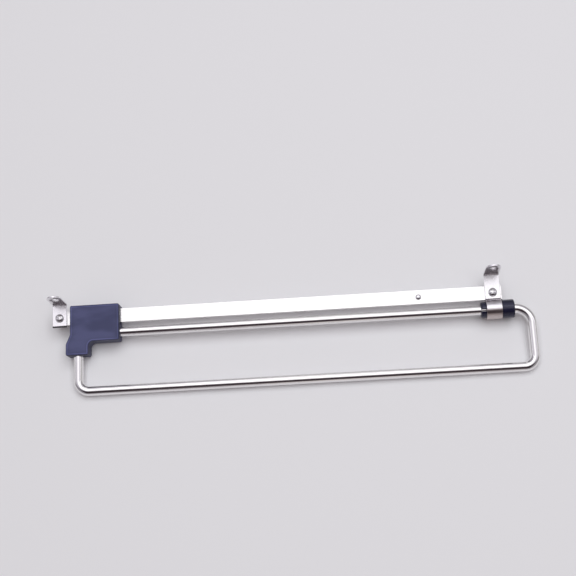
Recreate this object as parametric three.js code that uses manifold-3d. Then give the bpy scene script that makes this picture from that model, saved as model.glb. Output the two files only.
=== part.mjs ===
// A closet valet rod: a pull-out hanging rail that is screwed to the underside of a wardrobe shelf.
// A flat steel bar hangs from two lugs. A plastic carriage slides along the bar and carries the rear
// ends of a bent wire bow, whose top run passes through a guide bush that the front lug clips round.
// Millimetres. +X is the pull-out direction, +Z is up to the shelf, and the lugs' flanges reach to -Y.
// The origin is on the shelf's underside, midway between the two fixing holes. The front lug is taller
// than the rear one, so that the bar hangs a little lower in front, while both flanges lie level.
import * as THREE from "three";
import { mergeVertices } from "three/addons/utils/BufferGeometryUtils.js";
import Module from "manifold-3d";

const wasm = await Module();
wasm.setup();

// Shelf fixings
const fixingSpacing = 358; // between the two fixing holes, along the bar
const fixingReach = 15.5; // from a strip's outer face to its fixing hole
const fixingHoleRadius = 2.5;
const countersinkRadius = 4.3; // on the flange's underside, where the wood screw enters
const countersinkDepth = 1.1;

// Lug strips, pressed from one thickness of steel
const stripThickness = 1.5;
const stripBendRadius = 1.6; // of the strip's middle line, at the flange
const flangeReach = 23.5; // from a strip's outer face to the tip of its flange
const frontStripWidth = 12.5;
const rearStripWidth = 12;
const rearStripTail = 1.7; // the rear strip ends this far below the bar
const clipFilletRadius = 2; // where a leaf of the front lug turns into its ring

// Bar
const frontBarDrop = 10; // from the front flange's underside to the bar's top edge
const rearBarDrop = 6.3;
const barHeight = 12;
const barThickness = 3;
const barChamfer = 0.4;
const barFrontOverhang = 7.4; // from the front screw to the bar's end
const barRearOverhang = 5.6;

// Screws, lock washers and nuts that hold the lugs on the bar
const boltRadius = 2;
const boltHeadRadius = 3.5;
const boltHeadHeight = 2.2;
const boltTail = 1; // how far a screw stands out of its nut
const boltRecessWidth = 0.9;
const boltRecessLength = 3.8;
const boltRecessDepth = 1;
const nutAcrossFlats = 7;
const nutHeight = 2.8;
const nutChamfer = 0.3;
const nutSides = 6;
const washerRadius = 3.6;
const washerThickness = 1;
const washerGap = 0.8;

// Stop rivet
const rivetSetback = 60.3; // from the front screw back to the rivet
const rivetRadius = 1.5;
const rivetHeadRadius = 2.3;
const rivetHeadHeight = 1.2;
const rivetTailRadius = 2.1;
const rivetTailHeight = 0.6;

// Wire bow
const wireRadius = 4;
const wireDrop = 7.8; // from the bar's bottom edge to the middle of the top run
const bowDepth = 48.1; // between the middles of the top run and the hanging run
const frontBendRadius = 13; // of the wire's middle line, at the top of the front leg
const lowerBendRadius = 9;

// Guide bush
const bushWall = 2.05; // under the ring
const bushHeadRadius = 7.6;
const bushHeadLength = 10;
const bushHeadRound = 1.1;
const bushLipRadius = 6.6;
const bushLipLength = 4.5;
const bushLipRound = 1.4;
const bushSlitWidth = 2;
const bushSlitLength = 9;
const bushSlitTilt = THREE.MathUtils.degToRad(32); // below the horizontal

// Carriage
const carriageRearGap = 3.4; // from the rear lug to the carriage, pushed home
const carriageLength = 41.1;
const carriageDepth = 12.6;
const carriageCrown = 3.4; // above the bar's top edge
const carriageCover = 7.5; // from the middle of the top run to the body's underside
const legDrop = 11.1; // from the body's underside to the leg's
const legWidth = 18.9;
const legHeel = 3.5; // the leg stands out this far behind the body
const heelRise = 6; // where the heel's slope starts, above the body's underside
const heelFall = 1.7; // and where it ends, below it
const notchRadius = 4.2;
const carriageCornerRadius = 1;
const carriageBevel = 0.5;
const carriageEndWall = 1.6; // beyond each end of a slide liner
const topGrip = 24; // length of the top run inside the carriage
const legGrip = 16;

// Slide liners
const linerWall = 0.9;
const linerReach = 3.4; // how far a liner's cheeks lie over the bar

// Screws that go through the rear shell and the wire into the front shell
const clampRadius = 1.3;
const clampHeadRadius = 2.4;
const clampHeadHeight = 1.5;
const clampTip = 1.1; // front shell left in front of a screw's hole
const clampRecessWidth = 0.6;
const clampRecessLength = 2.8;
const clampRecessDepth = 0.7;
const clampShares = [0.25, 0.75]; // of the wire's length inside the carriage

// Clearances
const boltClearance = 0.15;
const rivetClearance = 0.08;
const bushClearance = 0.12; // bush in its ring
const wireClearance = 0.12; // wire in the bush and in the shells
const slideClearance = 0.15; // liners on the bar
const shellClearance = 0.5; // shells round the bar
const linerClearance = 0.1; // liners in the shells
const clampClearance = 0.1;
const bendClearance = 0.35; // from the bush to the start of the front bend, pushed home
const overrun = 2; // of a cutting tool past the surface that it leaves through

// Roundness
const roundSides = 32;
const smallSides = 20;
const wireSides = 20;
const bendSteps = 8;
const filletSteps = 6;
const ringSteps = 32;
const smallTurnSteps = 5;
const weldDistance = 1e-4; // vertices closer than this are one

// Levels and stations that several pieces share, measured square to the bar, with its middle plane at
// y = 0. At the end the whole assembly is moved back, so that the fixing holes come onto the line
// y = 0, and turned by the shelf's slope, so that both flanges come up to the shelf.
const barTop = -(stripThickness + (frontBarDrop + rearBarDrop) / 2);
const frontFlangeTop = barTop + frontBarDrop + stripThickness;
const rearFlangeTop = barTop + rearBarDrop + stripThickness;
const shelfSlope = (frontFlangeTop - rearFlangeTop) / fixingSpacing;
const barBottom = barTop - barHeight;
const barMiddle = (barTop + barBottom) / 2;
const barFace = -barThickness / 2;
const stripFace = barFace - stripThickness;
const frontX = fixingSpacing / 2;
const rearX = -fixingSpacing / 2;
const fixingY = stripFace - fixingReach;
const flangeTipY = stripFace - flangeReach;
const wireZ = barBottom - wireDrop;
const hangingZ = wireZ - bowDepth;
const wireBoreRadius = wireRadius + wireClearance;
const bushSeatRadius = wireBoreRadius + bushWall;
const ringInnerRadius = bushSeatRadius + bushClearance;
const ringRadius = ringInnerRadius + stripThickness / 2;
const bushRearX = frontX - frontStripWidth / 2 - bushLipLength;
const bushShoulderX = frontX + frontStripWidth / 2;
const bushFrontX = bushShoulderX + bushHeadLength;
const frontLegX = bushFrontX + bendClearance + frontBendRadius;
const carriageRearX = rearX + rearStripWidth / 2 + carriageRearGap;
const carriageFrontX = carriageRearX + carriageLength;
const carriageTop = barTop + carriageCrown;
const carriageBottom = wireZ - carriageCover;
const legBottom = carriageBottom - legDrop;
const legRearX = carriageRearX - legHeel;
const legFrontX = legRearX + legWidth;
const rearLegX = (legRearX + legFrontX) / 2;
const topRunEndX = carriageFrontX - topGrip;
const legEndZ = legBottom + legGrip;
const boltHoleRadius = boltRadius + boltClearance;

const finishes = {
  bar: { color: 0xe6e4df, roughness: 0.3, metalness: 1 },
  strip: { color: 0xd8d5d0, roughness: 0.25, metalness: 1 },
  wire: { color: 0xdcdad6, roughness: 0.12, metalness: 1 },
  screw: { color: 0xbdbbb8, roughness: 0.35, metalness: 1 },
  shell: { color: 0x2a2a38, roughness: 0.5, metalness: 0 },
  bush: { color: 0x1c1c26, roughness: 0.4, metalness: 0 },
  liner: { color: 0xe8e6dc, roughness: 0.55, metalness: 0 },
};

// Turns that bring a shape drawn in x and y, and pushed out along z, to the plane it is drawn for.
const alongX = new THREE.Matrix4().makeBasis(
  new THREE.Vector3(0, 1, 0),
  new THREE.Vector3(0, 0, 1),
  new THREE.Vector3(1, 0, 0),
);
const alongMinusY = new THREE.Matrix4().makeRotationX(Math.PI / 2);

function looseTriangles(geometry) {
  return geometry.index ? geometry.toNonIndexed() : geometry.clone();
}

function toSolid(geometry) {
  const bare = looseTriangles(geometry);
  bare.deleteAttribute("normal");
  bare.deleteAttribute("uv");
  const merged = mergeVertices(bare, weldDistance);
  return new wasm.Manifold(
    new wasm.Mesh({
      numProp: 3,
      vertProperties: merged.attributes.position.array,
      triVerts: new Uint32Array(merged.index.array),
    }),
  );
}

function toGeometry(solid) {
  const { numProp, vertProperties, triVerts } = solid.getMesh();
  const geometry = new THREE.BufferGeometry();
  const positions = new Float32Array((vertProperties.length / numProp) * 3);
  for (let i = 0; i < positions.length / 3; i++) {
    positions.set(vertProperties.subarray(i * numProp, i * numProp + 3), i * 3);
  }
  geometry.setAttribute("position", new THREE.BufferAttribute(positions, 3));
  geometry.setIndex(new THREE.BufferAttribute(triVerts, 1));
  return geometry;
}

function cut(geometry, ...tools) {
  return toGeometry(
    tools.reduce((solid, tool) => solid.subtract(toSolid(tool)), toSolid(geometry)),
  );
}

function keep(geometry, region) {
  return toGeometry(toSolid(geometry).intersect(toSolid(region)));
}

function piece(name, geometry, finish) {
  const shaded = looseTriangles(geometry);
  shaded.computeVertexNormals();
  const mesh = new THREE.Mesh(shaded, new THREE.MeshStandardMaterial(finishes[finish]));
  mesh.name = name;
  return mesh;
}

function rodAlongX(radius, startX, endX, y, z, sides = roundSides) {
  return new THREE.CylinderGeometry(radius, radius, endX - startX, sides)
    .rotateZ(-Math.PI / 2)
    .translate((startX + endX) / 2, y, z);
}

function rodAlongY(radius, startY, endY, x, z, sides = roundSides) {
  return new THREE.CylinderGeometry(radius, radius, endY - startY, sides).translate(
    x,
    (startY + endY) / 2,
    z,
  );
}

function rodAlongZ(radius, startZ, endZ, x, y, sides = roundSides) {
  return new THREE.CylinderGeometry(radius, radius, endZ - startZ, sides)
    .rotateX(Math.PI / 2)
    .translate(x, y, (startZ + endZ) / 2);
}

function block(lowX, highX, lowY, highY, lowZ, highZ) {
  return new THREE.BoxGeometry(highX - lowX, highY - lowY, highZ - lowZ).translate(
    (lowX + highX) / 2,
    (lowY + highY) / 2,
    (lowZ + highZ) / 2,
  );
}

// Points of an arc about a centre, from one angle to another.
function arcPoints(centre, radius, startAngle, endAngle, steps) {
  return Array.from({ length: steps + 1 }, (_, i) => {
    const angle = startAngle + ((endAngle - startAngle) * i) / steps;
    return new THREE.Vector2(
      centre.x + radius * Math.cos(angle),
      centre.y + radius * Math.sin(angle),
    );
  });
}

// The outline of a strip bent along a middle line of straight runs and arcs that meet smoothly.
function stripOutline(runs) {
  const sideAt = (offset) =>
    runs.flatMap((run) => {
      if (run.line) {
        const [start, end] = run.line;
        const direction = end.clone().sub(start).normalize();
        const normal = new THREE.Vector2(-direction.y, direction.x).multiplyScalar(offset);
        return [start.clone().add(normal), end.clone().add(normal)];
      }
      const turn = Math.sign(run.endAngle - run.startAngle);
      const radius = run.radius - turn * offset;
      return arcPoints(run.centre, radius, run.startAngle, run.endAngle, run.steps);
    });
  const left = sideAt(stripThickness / 2);
  const right = sideAt(-stripThickness / 2).reverse();
  const corners = [...left, ...right].filter(
    (point, i, all) => point.distanceTo(all.at(i - 1)) > weldDistance,
  );
  return new THREE.Shape(corners);
}

// The flange and the bend under it, down to where the strip hangs straight.
function flangeRuns(stripY, flangeTop) {
  const flangeZ = flangeTop - stripThickness / 2;
  const bend = new THREE.Vector2(stripY - stripBendRadius, flangeZ - stripBendRadius);
  return [
    { line: [new THREE.Vector2(flangeTipY, flangeZ), new THREE.Vector2(bend.x, flangeZ)] },
    {
      centre: bend,
      radius: stripBendRadius,
      startAngle: Math.PI / 2,
      endAngle: 0,
      steps: filletSteps,
    },
  ];
}

// Tips the flange and its bend to the shelf's slope, so that the flange lies flat on the shelf.
function levelFlange(geometry, x, bendEndZ) {
  const position = geometry.getAttribute("position");
  for (let i = 0; i < position.count; i++) {
    const z = position.getZ(i);
    if (z > bendEndZ - weldDistance) {
      position.setZ(i, z + (position.getX(i) - x) * shelfSlope);
    }
  }
  return geometry;
}

// Rounds the flange's tip in plan, cuts the fixing hole and its countersink, and levels the flange.
function finishFlange(geometry, width, x, flangeTop) {
  const plan = new THREE.Shape();
  const backY = ringRadius + stripThickness + overrun;
  const turnY = flangeTipY + width / 2;
  plan.moveTo(width / 2, backY);
  plan.lineTo(-width / 2, backY);
  plan.lineTo(-width / 2, turnY);
  plan.absarc(0, turnY, width / 2, Math.PI, 2 * Math.PI, false);
  const lowest = hangingZ;
  const tongue = new THREE.ExtrudeGeometry(plan, {
    depth: flangeTop + overrun - lowest,
    bevelEnabled: false,
    curveSegments: roundSides / 2,
  }).translate(x, 0, lowest);
  const mouthZ = flangeTop - stripThickness - overrun;
  const hole = rodAlongZ(fixingHoleRadius, mouthZ, flangeTop + overrun, x, fixingY);
  const flare = (countersinkRadius - fixingHoleRadius) / countersinkDepth;
  const mouthRadius = countersinkRadius + flare * overrun;
  const countersink = new THREE.CylinderGeometry(
    fixingHoleRadius,
    mouthRadius,
    countersinkDepth + overrun,
    roundSides,
  )
    .rotateX(Math.PI / 2)
    .translate(x, fixingY, mouthZ + (countersinkDepth + overrun) / 2);
  const bendEndZ = flangeTop - stripThickness / 2 - stripBendRadius;
  return levelFlange(cut(keep(geometry, tongue), hole, countersink), x, bendEndZ);
}

function extrudeAlongX(shape, startX, endX) {
  return new THREE.ExtrudeGeometry(shape, { depth: endX - startX, bevelEnabled: false })
    .applyMatrix4(alongX)
    .translate(startX, 0, 0);
}

function rearBracket() {
  const stripY = stripFace + stripThickness / 2;
  const flange = flangeRuns(stripY, rearFlangeTop);
  const bendEnd = new THREE.Vector2(stripY, flange.at(-1).centre.y);
  const foot = new THREE.Vector2(stripY, barBottom - rearStripTail);
  const outline = stripOutline([...flange, { line: [bendEnd, foot] }]);
  const half = rearStripWidth / 2;
  const strip = extrudeAlongX(outline, rearX - half, rearX + half);
  const boltHole = rodAlongY(
    boltHoleRadius,
    stripFace - overrun,
    barFace + overrun,
    rearX,
    barMiddle,
    smallSides,
  );
  return cut(finishFlange(strip, rearStripWidth, rearX, rearFlangeTop), boltHole);
}

// The front strip hangs in front of the bar, goes round the bush in a ring and comes up behind the bar.
function frontBracket() {
  const leafY = stripFace + stripThickness / 2;
  const flange = flangeRuns(leafY, frontFlangeTop);
  const reach = Math.abs(leafY) + clipFilletRadius;
  const rise = Math.sqrt((ringRadius + clipFilletRadius) ** 2 - reach ** 2);
  const throat = Math.atan2(rise, reach);
  const ringCentre = new THREE.Vector2(0, wireZ);
  const filletZ = wireZ + rise;
  const bendEnd = new THREE.Vector2(leafY, flange.at(-1).centre.y);
  const outline = stripOutline([
    ...flange,
    { line: [bendEnd, new THREE.Vector2(leafY, filletZ)] },
    {
      centre: new THREE.Vector2(-reach, filletZ),
      radius: clipFilletRadius,
      startAngle: 0,
      endAngle: -throat,
      steps: filletSteps,
    },
    {
      centre: ringCentre,
      radius: ringRadius,
      startAngle: Math.PI - throat,
      endAngle: 2 * Math.PI + throat,
      steps: ringSteps,
    },
    {
      centre: new THREE.Vector2(reach, filletZ),
      radius: clipFilletRadius,
      startAngle: Math.PI + throat,
      endAngle: Math.PI,
      steps: filletSteps,
    },
    { line: [new THREE.Vector2(-leafY, filletZ), new THREE.Vector2(-leafY, barTop)] },
  ]);
  const half = frontStripWidth / 2;
  const strip = extrudeAlongX(outline, frontX - half, frontX + half);
  const boltHole = rodAlongY(
    boltHoleRadius,
    stripFace - overrun,
    -stripFace + overrun,
    frontX,
    barMiddle,
    smallSides,
  );
  return cut(finishFlange(strip, frontStripWidth, frontX, frontFlangeTop), boltHole);
}

function circleHole(radius, x, y, sides) {
  return new THREE.Path(
    arcPoints(new THREE.Vector2(x, y), radius, 0, 2 * Math.PI, sides).slice(1),
  );
}

function barGeometry() {
  const rearEndX = rearX - barRearOverhang;
  const frontEndX = frontX + barFrontOverhang;
  const outline = new THREE.Shape([
    new THREE.Vector2(rearEndX, barBottom),
    new THREE.Vector2(frontEndX, barBottom),
    new THREE.Vector2(frontEndX, barTop),
    new THREE.Vector2(rearEndX, barTop),
  ]);
  outline.holes.push(
    circleHole(boltHoleRadius, rearX, barMiddle, smallSides),
    circleHole(boltHoleRadius, frontX, barMiddle, smallSides),
    circleHole(rivetRadius + rivetClearance, frontX - rivetSetback, barMiddle, smallSides),
  );
  return new THREE.ExtrudeGeometry(outline, {
    depth: barThickness - 2 * barChamfer,
    bevelThickness: barChamfer,
    bevelSize: barChamfer,
    bevelOffset: -barChamfer,
    bevelSegments: 1,
  })
    .applyMatrix4(alongMinusY)
    .translate(0, barThickness / 2 - barChamfer, 0);
}

// A crossed recess, as two tools that cut into a head from the side it is driven from.
function crossRecess(width, length, outerY, innerY, x, z) {
  return [
    block(x - length / 2, x + length / 2, outerY, innerY, z - width / 2, z + width / 2),
    block(x - width / 2, x + width / 2, outerY, innerY, z - length / 2, z + length / 2),
  ];
}

// The quarter profile of a domed head, from its rim up to the axis.
function domePoints(radius, height, steps) {
  return Array.from({ length: steps + 1 }, (_, i) => {
    const angle = ((Math.PI / 2) * i) / steps;
    return new THREE.Vector2(radius * Math.cos(angle), height * Math.sin(angle));
  });
}

// A screw through a strip and whatever lies behind it. Its head bears on the strip's outer face.
function bracketScrew(x, nutFaceY) {
  const headLip = boltHeadHeight / 4;
  const shankLength = nutFaceY + nutHeight + boltTail - stripFace;
  const tip = boltRadius / 4;
  const dome = domePoints(boltHeadRadius, boltHeadHeight - headLip, smallTurnSteps);
  const profile = [
    new THREE.Vector2(0, -shankLength),
    new THREE.Vector2(boltRadius - tip, -shankLength),
    new THREE.Vector2(boltRadius, -shankLength + tip),
    new THREE.Vector2(boltRadius, 0),
    new THREE.Vector2(boltHeadRadius, 0),
    ...dome.map((point) => new THREE.Vector2(Math.max(point.x, 0), point.y + headLip)),
  ];
  const body = new THREE.LatheGeometry(profile, roundSides)
    .rotateX(Math.PI)
    .translate(x, stripFace, barMiddle);
  const outerY = stripFace - boltHeadHeight - overrun;
  const innerY = stripFace - boltHeadHeight + boltRecessDepth;
  const recess = crossRecess(boltRecessWidth, boltRecessLength, outerY, innerY, x, barMiddle);
  return cut(body, ...recess);
}

function lockWasher(x, faceY) {
  const innerRadius = boltHoleRadius;
  const half = Math.asin(washerGap / 2 / washerRadius);
  const centre = new THREE.Vector2(0, 0);
  const outer = arcPoints(centre, washerRadius, half, 2 * Math.PI - half, smallSides);
  const innerHalf = Math.asin(washerGap / 2 / innerRadius);
  const inner = arcPoints(centre, innerRadius, 2 * Math.PI - innerHalf, innerHalf, smallSides);
  return new THREE.ExtrudeGeometry(new THREE.Shape([...outer, ...inner]), {
    depth: washerThickness,
    bevelEnabled: false,
  })
    .applyMatrix4(alongMinusY)
    .translate(x, faceY + washerThickness, barMiddle);
}

function hexNut(x, faceY) {
  const centre = new THREE.Vector2(0, 0);
  const cornerRadius = nutAcrossFlats / 2 / Math.cos(Math.PI / nutSides);
  const corners = arcPoints(centre, cornerRadius, 0, 2 * Math.PI, nutSides).slice(1);
  const outline = new THREE.Shape(corners);
  outline.holes.push(circleHole(boltHoleRadius, 0, 0, smallSides));
  return new THREE.ExtrudeGeometry(outline, {
    depth: nutHeight - 2 * nutChamfer,
    bevelThickness: nutChamfer,
    bevelSize: nutChamfer,
    bevelOffset: -nutChamfer,
    bevelSegments: 1,
  })
    .applyMatrix4(alongMinusY)
    .translate(x, faceY + nutHeight - nutChamfer, barMiddle);
}

// The rivet's head stands in front of the bar and is what the carriage runs up against.
function stopRivet() {
  const dome = domePoints(rivetHeadRadius, rivetHeadHeight, smallTurnSteps);
  const tailY = -(barThickness + rivetTailHeight);
  const profile = [
    new THREE.Vector2(0, tailY),
    new THREE.Vector2(rivetTailRadius - rivetTailHeight / 2, tailY),
    new THREE.Vector2(rivetTailRadius, -barThickness - rivetTailHeight / 2),
    new THREE.Vector2(rivetTailRadius, -barThickness),
    new THREE.Vector2(rivetRadius, -barThickness),
    new THREE.Vector2(rivetRadius, 0),
    ...dome.map((point) => new THREE.Vector2(Math.max(point.x, 0), point.y)),
  ];
  return new THREE.LatheGeometry(profile, smallSides)
    .rotateX(Math.PI)
    .translate(frontX - rivetSetback, barFace, barMiddle);
}

// A split sleeve: its head stops it in front of the ring, and its sprung lip snaps out behind it.
function guideBush() {
  const lipEnd = bushRearX;
  const lipStart = bushRearX + bushLipLength - bushClearance;
  const headStart = bushShoulderX + bushClearance;
  const lipCentre = new THREE.Vector2(bushLipRadius - bushLipRound, lipEnd + bushLipRound);
  const headCentre = new THREE.Vector2(bushHeadRadius - bushHeadRound, bushFrontX - bushHeadRound);
  const lipRound = arcPoints(lipCentre, bushLipRound, -Math.PI / 2, 0, smallTurnSteps);
  const headRound = arcPoints(headCentre, bushHeadRound, 0, Math.PI / 2, smallTurnSteps);
  const profile = [
    new THREE.Vector2(wireBoreRadius, lipEnd),
    ...lipRound,
    new THREE.Vector2(bushLipRadius, lipStart),
    new THREE.Vector2(bushSeatRadius, lipStart),
    new THREE.Vector2(bushSeatRadius, headStart),
    new THREE.Vector2(bushHeadRadius, headStart),
    ...headRound,
    new THREE.Vector2(wireBoreRadius, bushFrontX),
    new THREE.Vector2(wireBoreRadius, lipEnd),
  ];
  const sleeve = new THREE.LatheGeometry(profile, roundSides)
    .rotateZ(-Math.PI / 2)
    .translate(0, 0, wireZ);
  const across = bushHeadRadius + overrun;
  const slit = block(
    lipEnd - overrun,
    lipEnd + bushSlitLength,
    -across,
    across,
    -bushSlitWidth / 2,
    bushSlitWidth / 2,
  )
    .rotateX(bushSlitTilt)
    .translate(0, 0, wireZ);
  return cut(sleeve, slit);
}

// A path through chosen stations, each a point with its direction, so that straight runs need no steps.
class StationPath extends THREE.Curve {
  constructor(stations) {
    super();
    this.stations = stations;
  }
  stationAt(share) {
    return this.stations[Math.round(share * (this.stations.length - 1))];
  }
  getPointAt(share, target = new THREE.Vector3()) {
    return target.copy(this.stationAt(share).point);
  }
  getTangentAt(share, target = new THREE.Vector3()) {
    return target.copy(this.stationAt(share).direction);
  }
}

// Stations round a bend of the bow, whose angles are measured in the plane of x and z.
function bendStations(centreX, centreZ, radius, startAngle, endAngle) {
  const turn = Math.sign(endAngle - startAngle);
  return Array.from({ length: bendSteps + 1 }, (_, i) => {
    const angle = startAngle + ((endAngle - startAngle) * i) / bendSteps;
    const point = new THREE.Vector3(
      centreX + radius * Math.cos(angle),
      0,
      centreZ + radius * Math.sin(angle),
    );
    const direction = new THREE.Vector3(-Math.sin(angle), 0, Math.cos(angle)).multiplyScalar(turn);
    return { point, direction };
  });
}

// Where the clamping screws cross the wire, two in the top run and two in the rear leg.
const clampPlaces = [
  ...clampShares.map((share) => ({ x: carriageFrontX - share * topGrip, z: wireZ })),
  ...clampShares.map((share) => ({ x: rearLegX, z: legBottom + share * legGrip })),
];

function wireBow() {
  const straight = (x, z, directionX, directionZ) => ({
    point: new THREE.Vector3(x, 0, z),
    direction: new THREE.Vector3(directionX, 0, directionZ),
  });
  const quarter = Math.PI / 2;
  const path = new StationPath([
    straight(topRunEndX, wireZ, 1, 0),
    ...bendStations(
      frontLegX - frontBendRadius,
      wireZ - frontBendRadius,
      frontBendRadius,
      quarter,
      0,
    ),
    ...bendStations(
      frontLegX - lowerBendRadius,
      hangingZ + lowerBendRadius,
      lowerBendRadius,
      0,
      -quarter,
    ),
    ...bendStations(
      rearLegX + lowerBendRadius,
      hangingZ + lowerBendRadius,
      lowerBendRadius,
      -quarter,
      -2 * quarter,
    ),
    straight(rearLegX, legEndZ, 0, 1),
  ]);
  const section = new THREE.Shape(
    arcPoints(new THREE.Vector2(0, 0), wireRadius, 0, 2 * Math.PI, wireSides).slice(1),
  );
  const wire = new THREE.ExtrudeGeometry(section, {
    steps: path.stations.length - 1,
    extrudePath: path,
  });
  const holes = clampPlaces.map(({ x, z }) =>
    rodAlongY(
      clampRadius + clampClearance,
      -wireRadius - overrun,
      wireRadius + overrun,
      x,
      z,
      smallSides,
    ),
  );
  return cut(wire, ...holes);
}

// The carriage seen from the front: a body round the bar and the top run, and a leg for the rear end.
function carriageOutline() {
  const corner = carriageCornerRadius;
  const shape = new THREE.Shape();
  const notchX = legFrontX + notchRadius;
  const notchZ = carriageBottom - notchRadius;
  shape.moveTo(carriageRearX + corner, carriageTop);
  shape.lineTo(carriageRearX, carriageTop - corner);
  shape.lineTo(carriageRearX, carriageBottom + heelRise);
  shape.lineTo(legRearX, carriageBottom - heelFall);
  shape.lineTo(legRearX, legBottom + corner);
  shape.lineTo(legRearX + corner, legBottom);
  shape.lineTo(legFrontX - corner, legBottom);
  shape.lineTo(legFrontX, legBottom + corner);
  shape.lineTo(legFrontX, notchZ);
  shape.absarc(notchX, notchZ, notchRadius, Math.PI, Math.PI / 2, true);
  shape.lineTo(carriageFrontX - corner, carriageBottom);
  shape.lineTo(carriageFrontX, carriageBottom + corner);
  shape.lineTo(carriageFrontX, carriageTop - corner);
  shape.lineTo(carriageFrontX - corner, carriageTop);
  return shape;
}

function carriageBlock() {
  return new THREE.ExtrudeGeometry(carriageOutline(), {
    depth: carriageDepth - 2 * carriageBevel,
    curveSegments: filletSteps,
    bevelThickness: carriageBevel,
    bevelSize: carriageBevel,
    bevelOffset: -carriageBevel,
    bevelSegments: 1,
  })
    .applyMatrix4(alongMinusY)
    .translate(0, carriageDepth / 2 - carriageBevel, 0);
}

// The room inside the carriage: the bar's slot, the liners' pockets and the wire's two sockets.
function carriageHollows() {
  const slotY = barThickness / 2 + shellClearance;
  const linerY = barThickness / 2 + slideClearance + linerWall + linerClearance;
  const linerRise = slideClearance + linerWall + linerClearance;
  const pocketRearX = carriageRearX + carriageEndWall;
  const pocketFrontX = carriageFrontX - carriageEndWall;
  const cheek = linerReach + linerClearance;
  return [
    block(
      carriageRearX - overrun,
      carriageFrontX + overrun,
      -slotY,
      slotY,
      barBottom - shellClearance,
      barTop + shellClearance,
    ),
    block(pocketRearX, pocketFrontX, -linerY, linerY, barTop - cheek, barTop + linerRise),
    block(pocketRearX, pocketFrontX, -linerY, linerY, barBottom - linerRise, barBottom + cheek),
    rodAlongX(wireBoreRadius, topRunEndX - wireClearance, carriageFrontX + overrun, 0, wireZ),
    rodAlongZ(wireBoreRadius, legBottom - overrun, legEndZ + wireClearance, rearLegX, 0),
  ];
}

function carriageHalf(lowY, highY, holes) {
  const region = block(
    legRearX - overrun,
    carriageFrontX + overrun,
    lowY,
    highY,
    legBottom - overrun,
    carriageTop + overrun,
  );
  return cut(keep(carriageBlock(), region), ...carriageHollows(), ...holes);
}

function frontShell() {
  const innermost = -carriageDepth / 2 + clampTip;
  const holes = clampPlaces.map(({ x, z }) =>
    rodAlongY(clampRadius + clampClearance, innermost, overrun, x, z, smallSides),
  );
  return carriageHalf(-carriageDepth / 2 - overrun, 0, holes);
}

function rearShell() {
  const backY = carriageDepth / 2;
  const holes = clampPlaces.flatMap(({ x, z }) => [
    rodAlongY(clampRadius + clampClearance, -overrun, backY + overrun, x, z, smallSides),
    rodAlongY(
      clampHeadRadius + clampClearance,
      backY - clampHeadHeight,
      backY + overrun,
      x,
      z,
      smallSides,
    ),
  ]);
  return carriageHalf(0, backY + overrun, holes);
}

function clampScrew(x, z) {
  const backY = carriageDepth / 2;
  const neckY = backY - clampHeadHeight;
  const tipY = -carriageDepth / 2 + clampTip + clampClearance;
  const point = clampRadius / 2;
  const headEdge = clampHeadHeight / 4;
  const profile = [
    new THREE.Vector2(0, tipY),
    new THREE.Vector2(clampRadius - point, tipY),
    new THREE.Vector2(clampRadius, tipY + point),
    new THREE.Vector2(clampRadius, neckY),
    new THREE.Vector2(clampHeadRadius, neckY),
    new THREE.Vector2(clampHeadRadius, backY - headEdge),
    new THREE.Vector2(clampHeadRadius - headEdge, backY),
    new THREE.Vector2(0, backY),
  ];
  const body = new THREE.LatheGeometry(profile, smallSides).translate(x, 0, z);
  const innerY = backY - clampRecessDepth;
  const recess = crossRecess(clampRecessWidth, clampRecessLength, innerY, backY + overrun, x, z);
  return cut(body, ...recess);
}

// A U-shaped slide liner over one edge of the bar. side is 1 on the top edge and -1 on the bottom one.
function slideLiner(edgeZ, side) {
  const innerY = barThickness / 2 + slideClearance;
  const outerY = innerY + linerWall;
  const webZ = edgeZ + side * slideClearance;
  const backZ = webZ + side * linerWall;
  const lipZ = edgeZ - side * linerReach;
  const corners = [
    new THREE.Vector2(-outerY, lipZ),
    new THREE.Vector2(-innerY, lipZ),
    new THREE.Vector2(-innerY, webZ),
    new THREE.Vector2(innerY, webZ),
    new THREE.Vector2(innerY, lipZ),
    new THREE.Vector2(outerY, lipZ),
    new THREE.Vector2(outerY, backZ),
    new THREE.Vector2(-outerY, backZ),
  ];
  return extrudeAlongX(
    new THREE.Shape(corners),
    carriageRearX + carriageEndWall + linerClearance,
    carriageFrontX - carriageEndWall - linerClearance,
  );
}

function fixedAssembly() {
  const group = new THREE.Group();
  const fastenings = [
    { end: "rear", x: rearX, seatY: -barFace },
    { end: "front", x: frontX, seatY: -stripFace },
  ];
  group.add(
    piece("rail_bar", barGeometry(), "bar"),
    piece("rear_bracket", rearBracket(), "strip"),
    piece("front_bracket", frontBracket(), "strip"),
    piece("guide_bush", guideBush(), "bush"),
    piece("stop_rivet", stopRivet(), "screw"),
  );
  for (const { end, x, seatY } of fastenings) {
    const nutFaceY = seatY + washerThickness;
    group.add(
      piece(`${end}_bracket_screw`, bracketScrew(x, nutFaceY), "screw"),
      piece(`${end}_lock_washer`, lockWasher(x, seatY), "screw"),
      piece(`${end}_nut`, hexNut(x, nutFaceY), "screw"),
    );
  }
  return group;
}

function slidingAssembly() {
  const group = new THREE.Group();
  group.add(
    piece("wire_bow", wireBow(), "wire"),
    piece("carriage_front_shell", frontShell(), "shell"),
    piece("carriage_rear_shell", rearShell(), "shell"),
    piece("upper_slide_liner", slideLiner(barTop, 1), "liner"),
    piece("lower_slide_liner", slideLiner(barBottom, -1), "liner"),
    ...clampPlaces.map(({ x, z }, i) =>
      piece(`carriage_screw_${i + 1}`, clampScrew(x, z), "screw"),
    ),
  );
  return group;
}

const valetRod = new THREE.Group();
valetRod.add(fixedAssembly(), slidingAssembly());
for (const assembly of valetRod.children) {
  assembly.position.y = -fixingY;
  assembly.rotation.y = Math.atan(shelfSlope);
}

export default valetRod;
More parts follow.
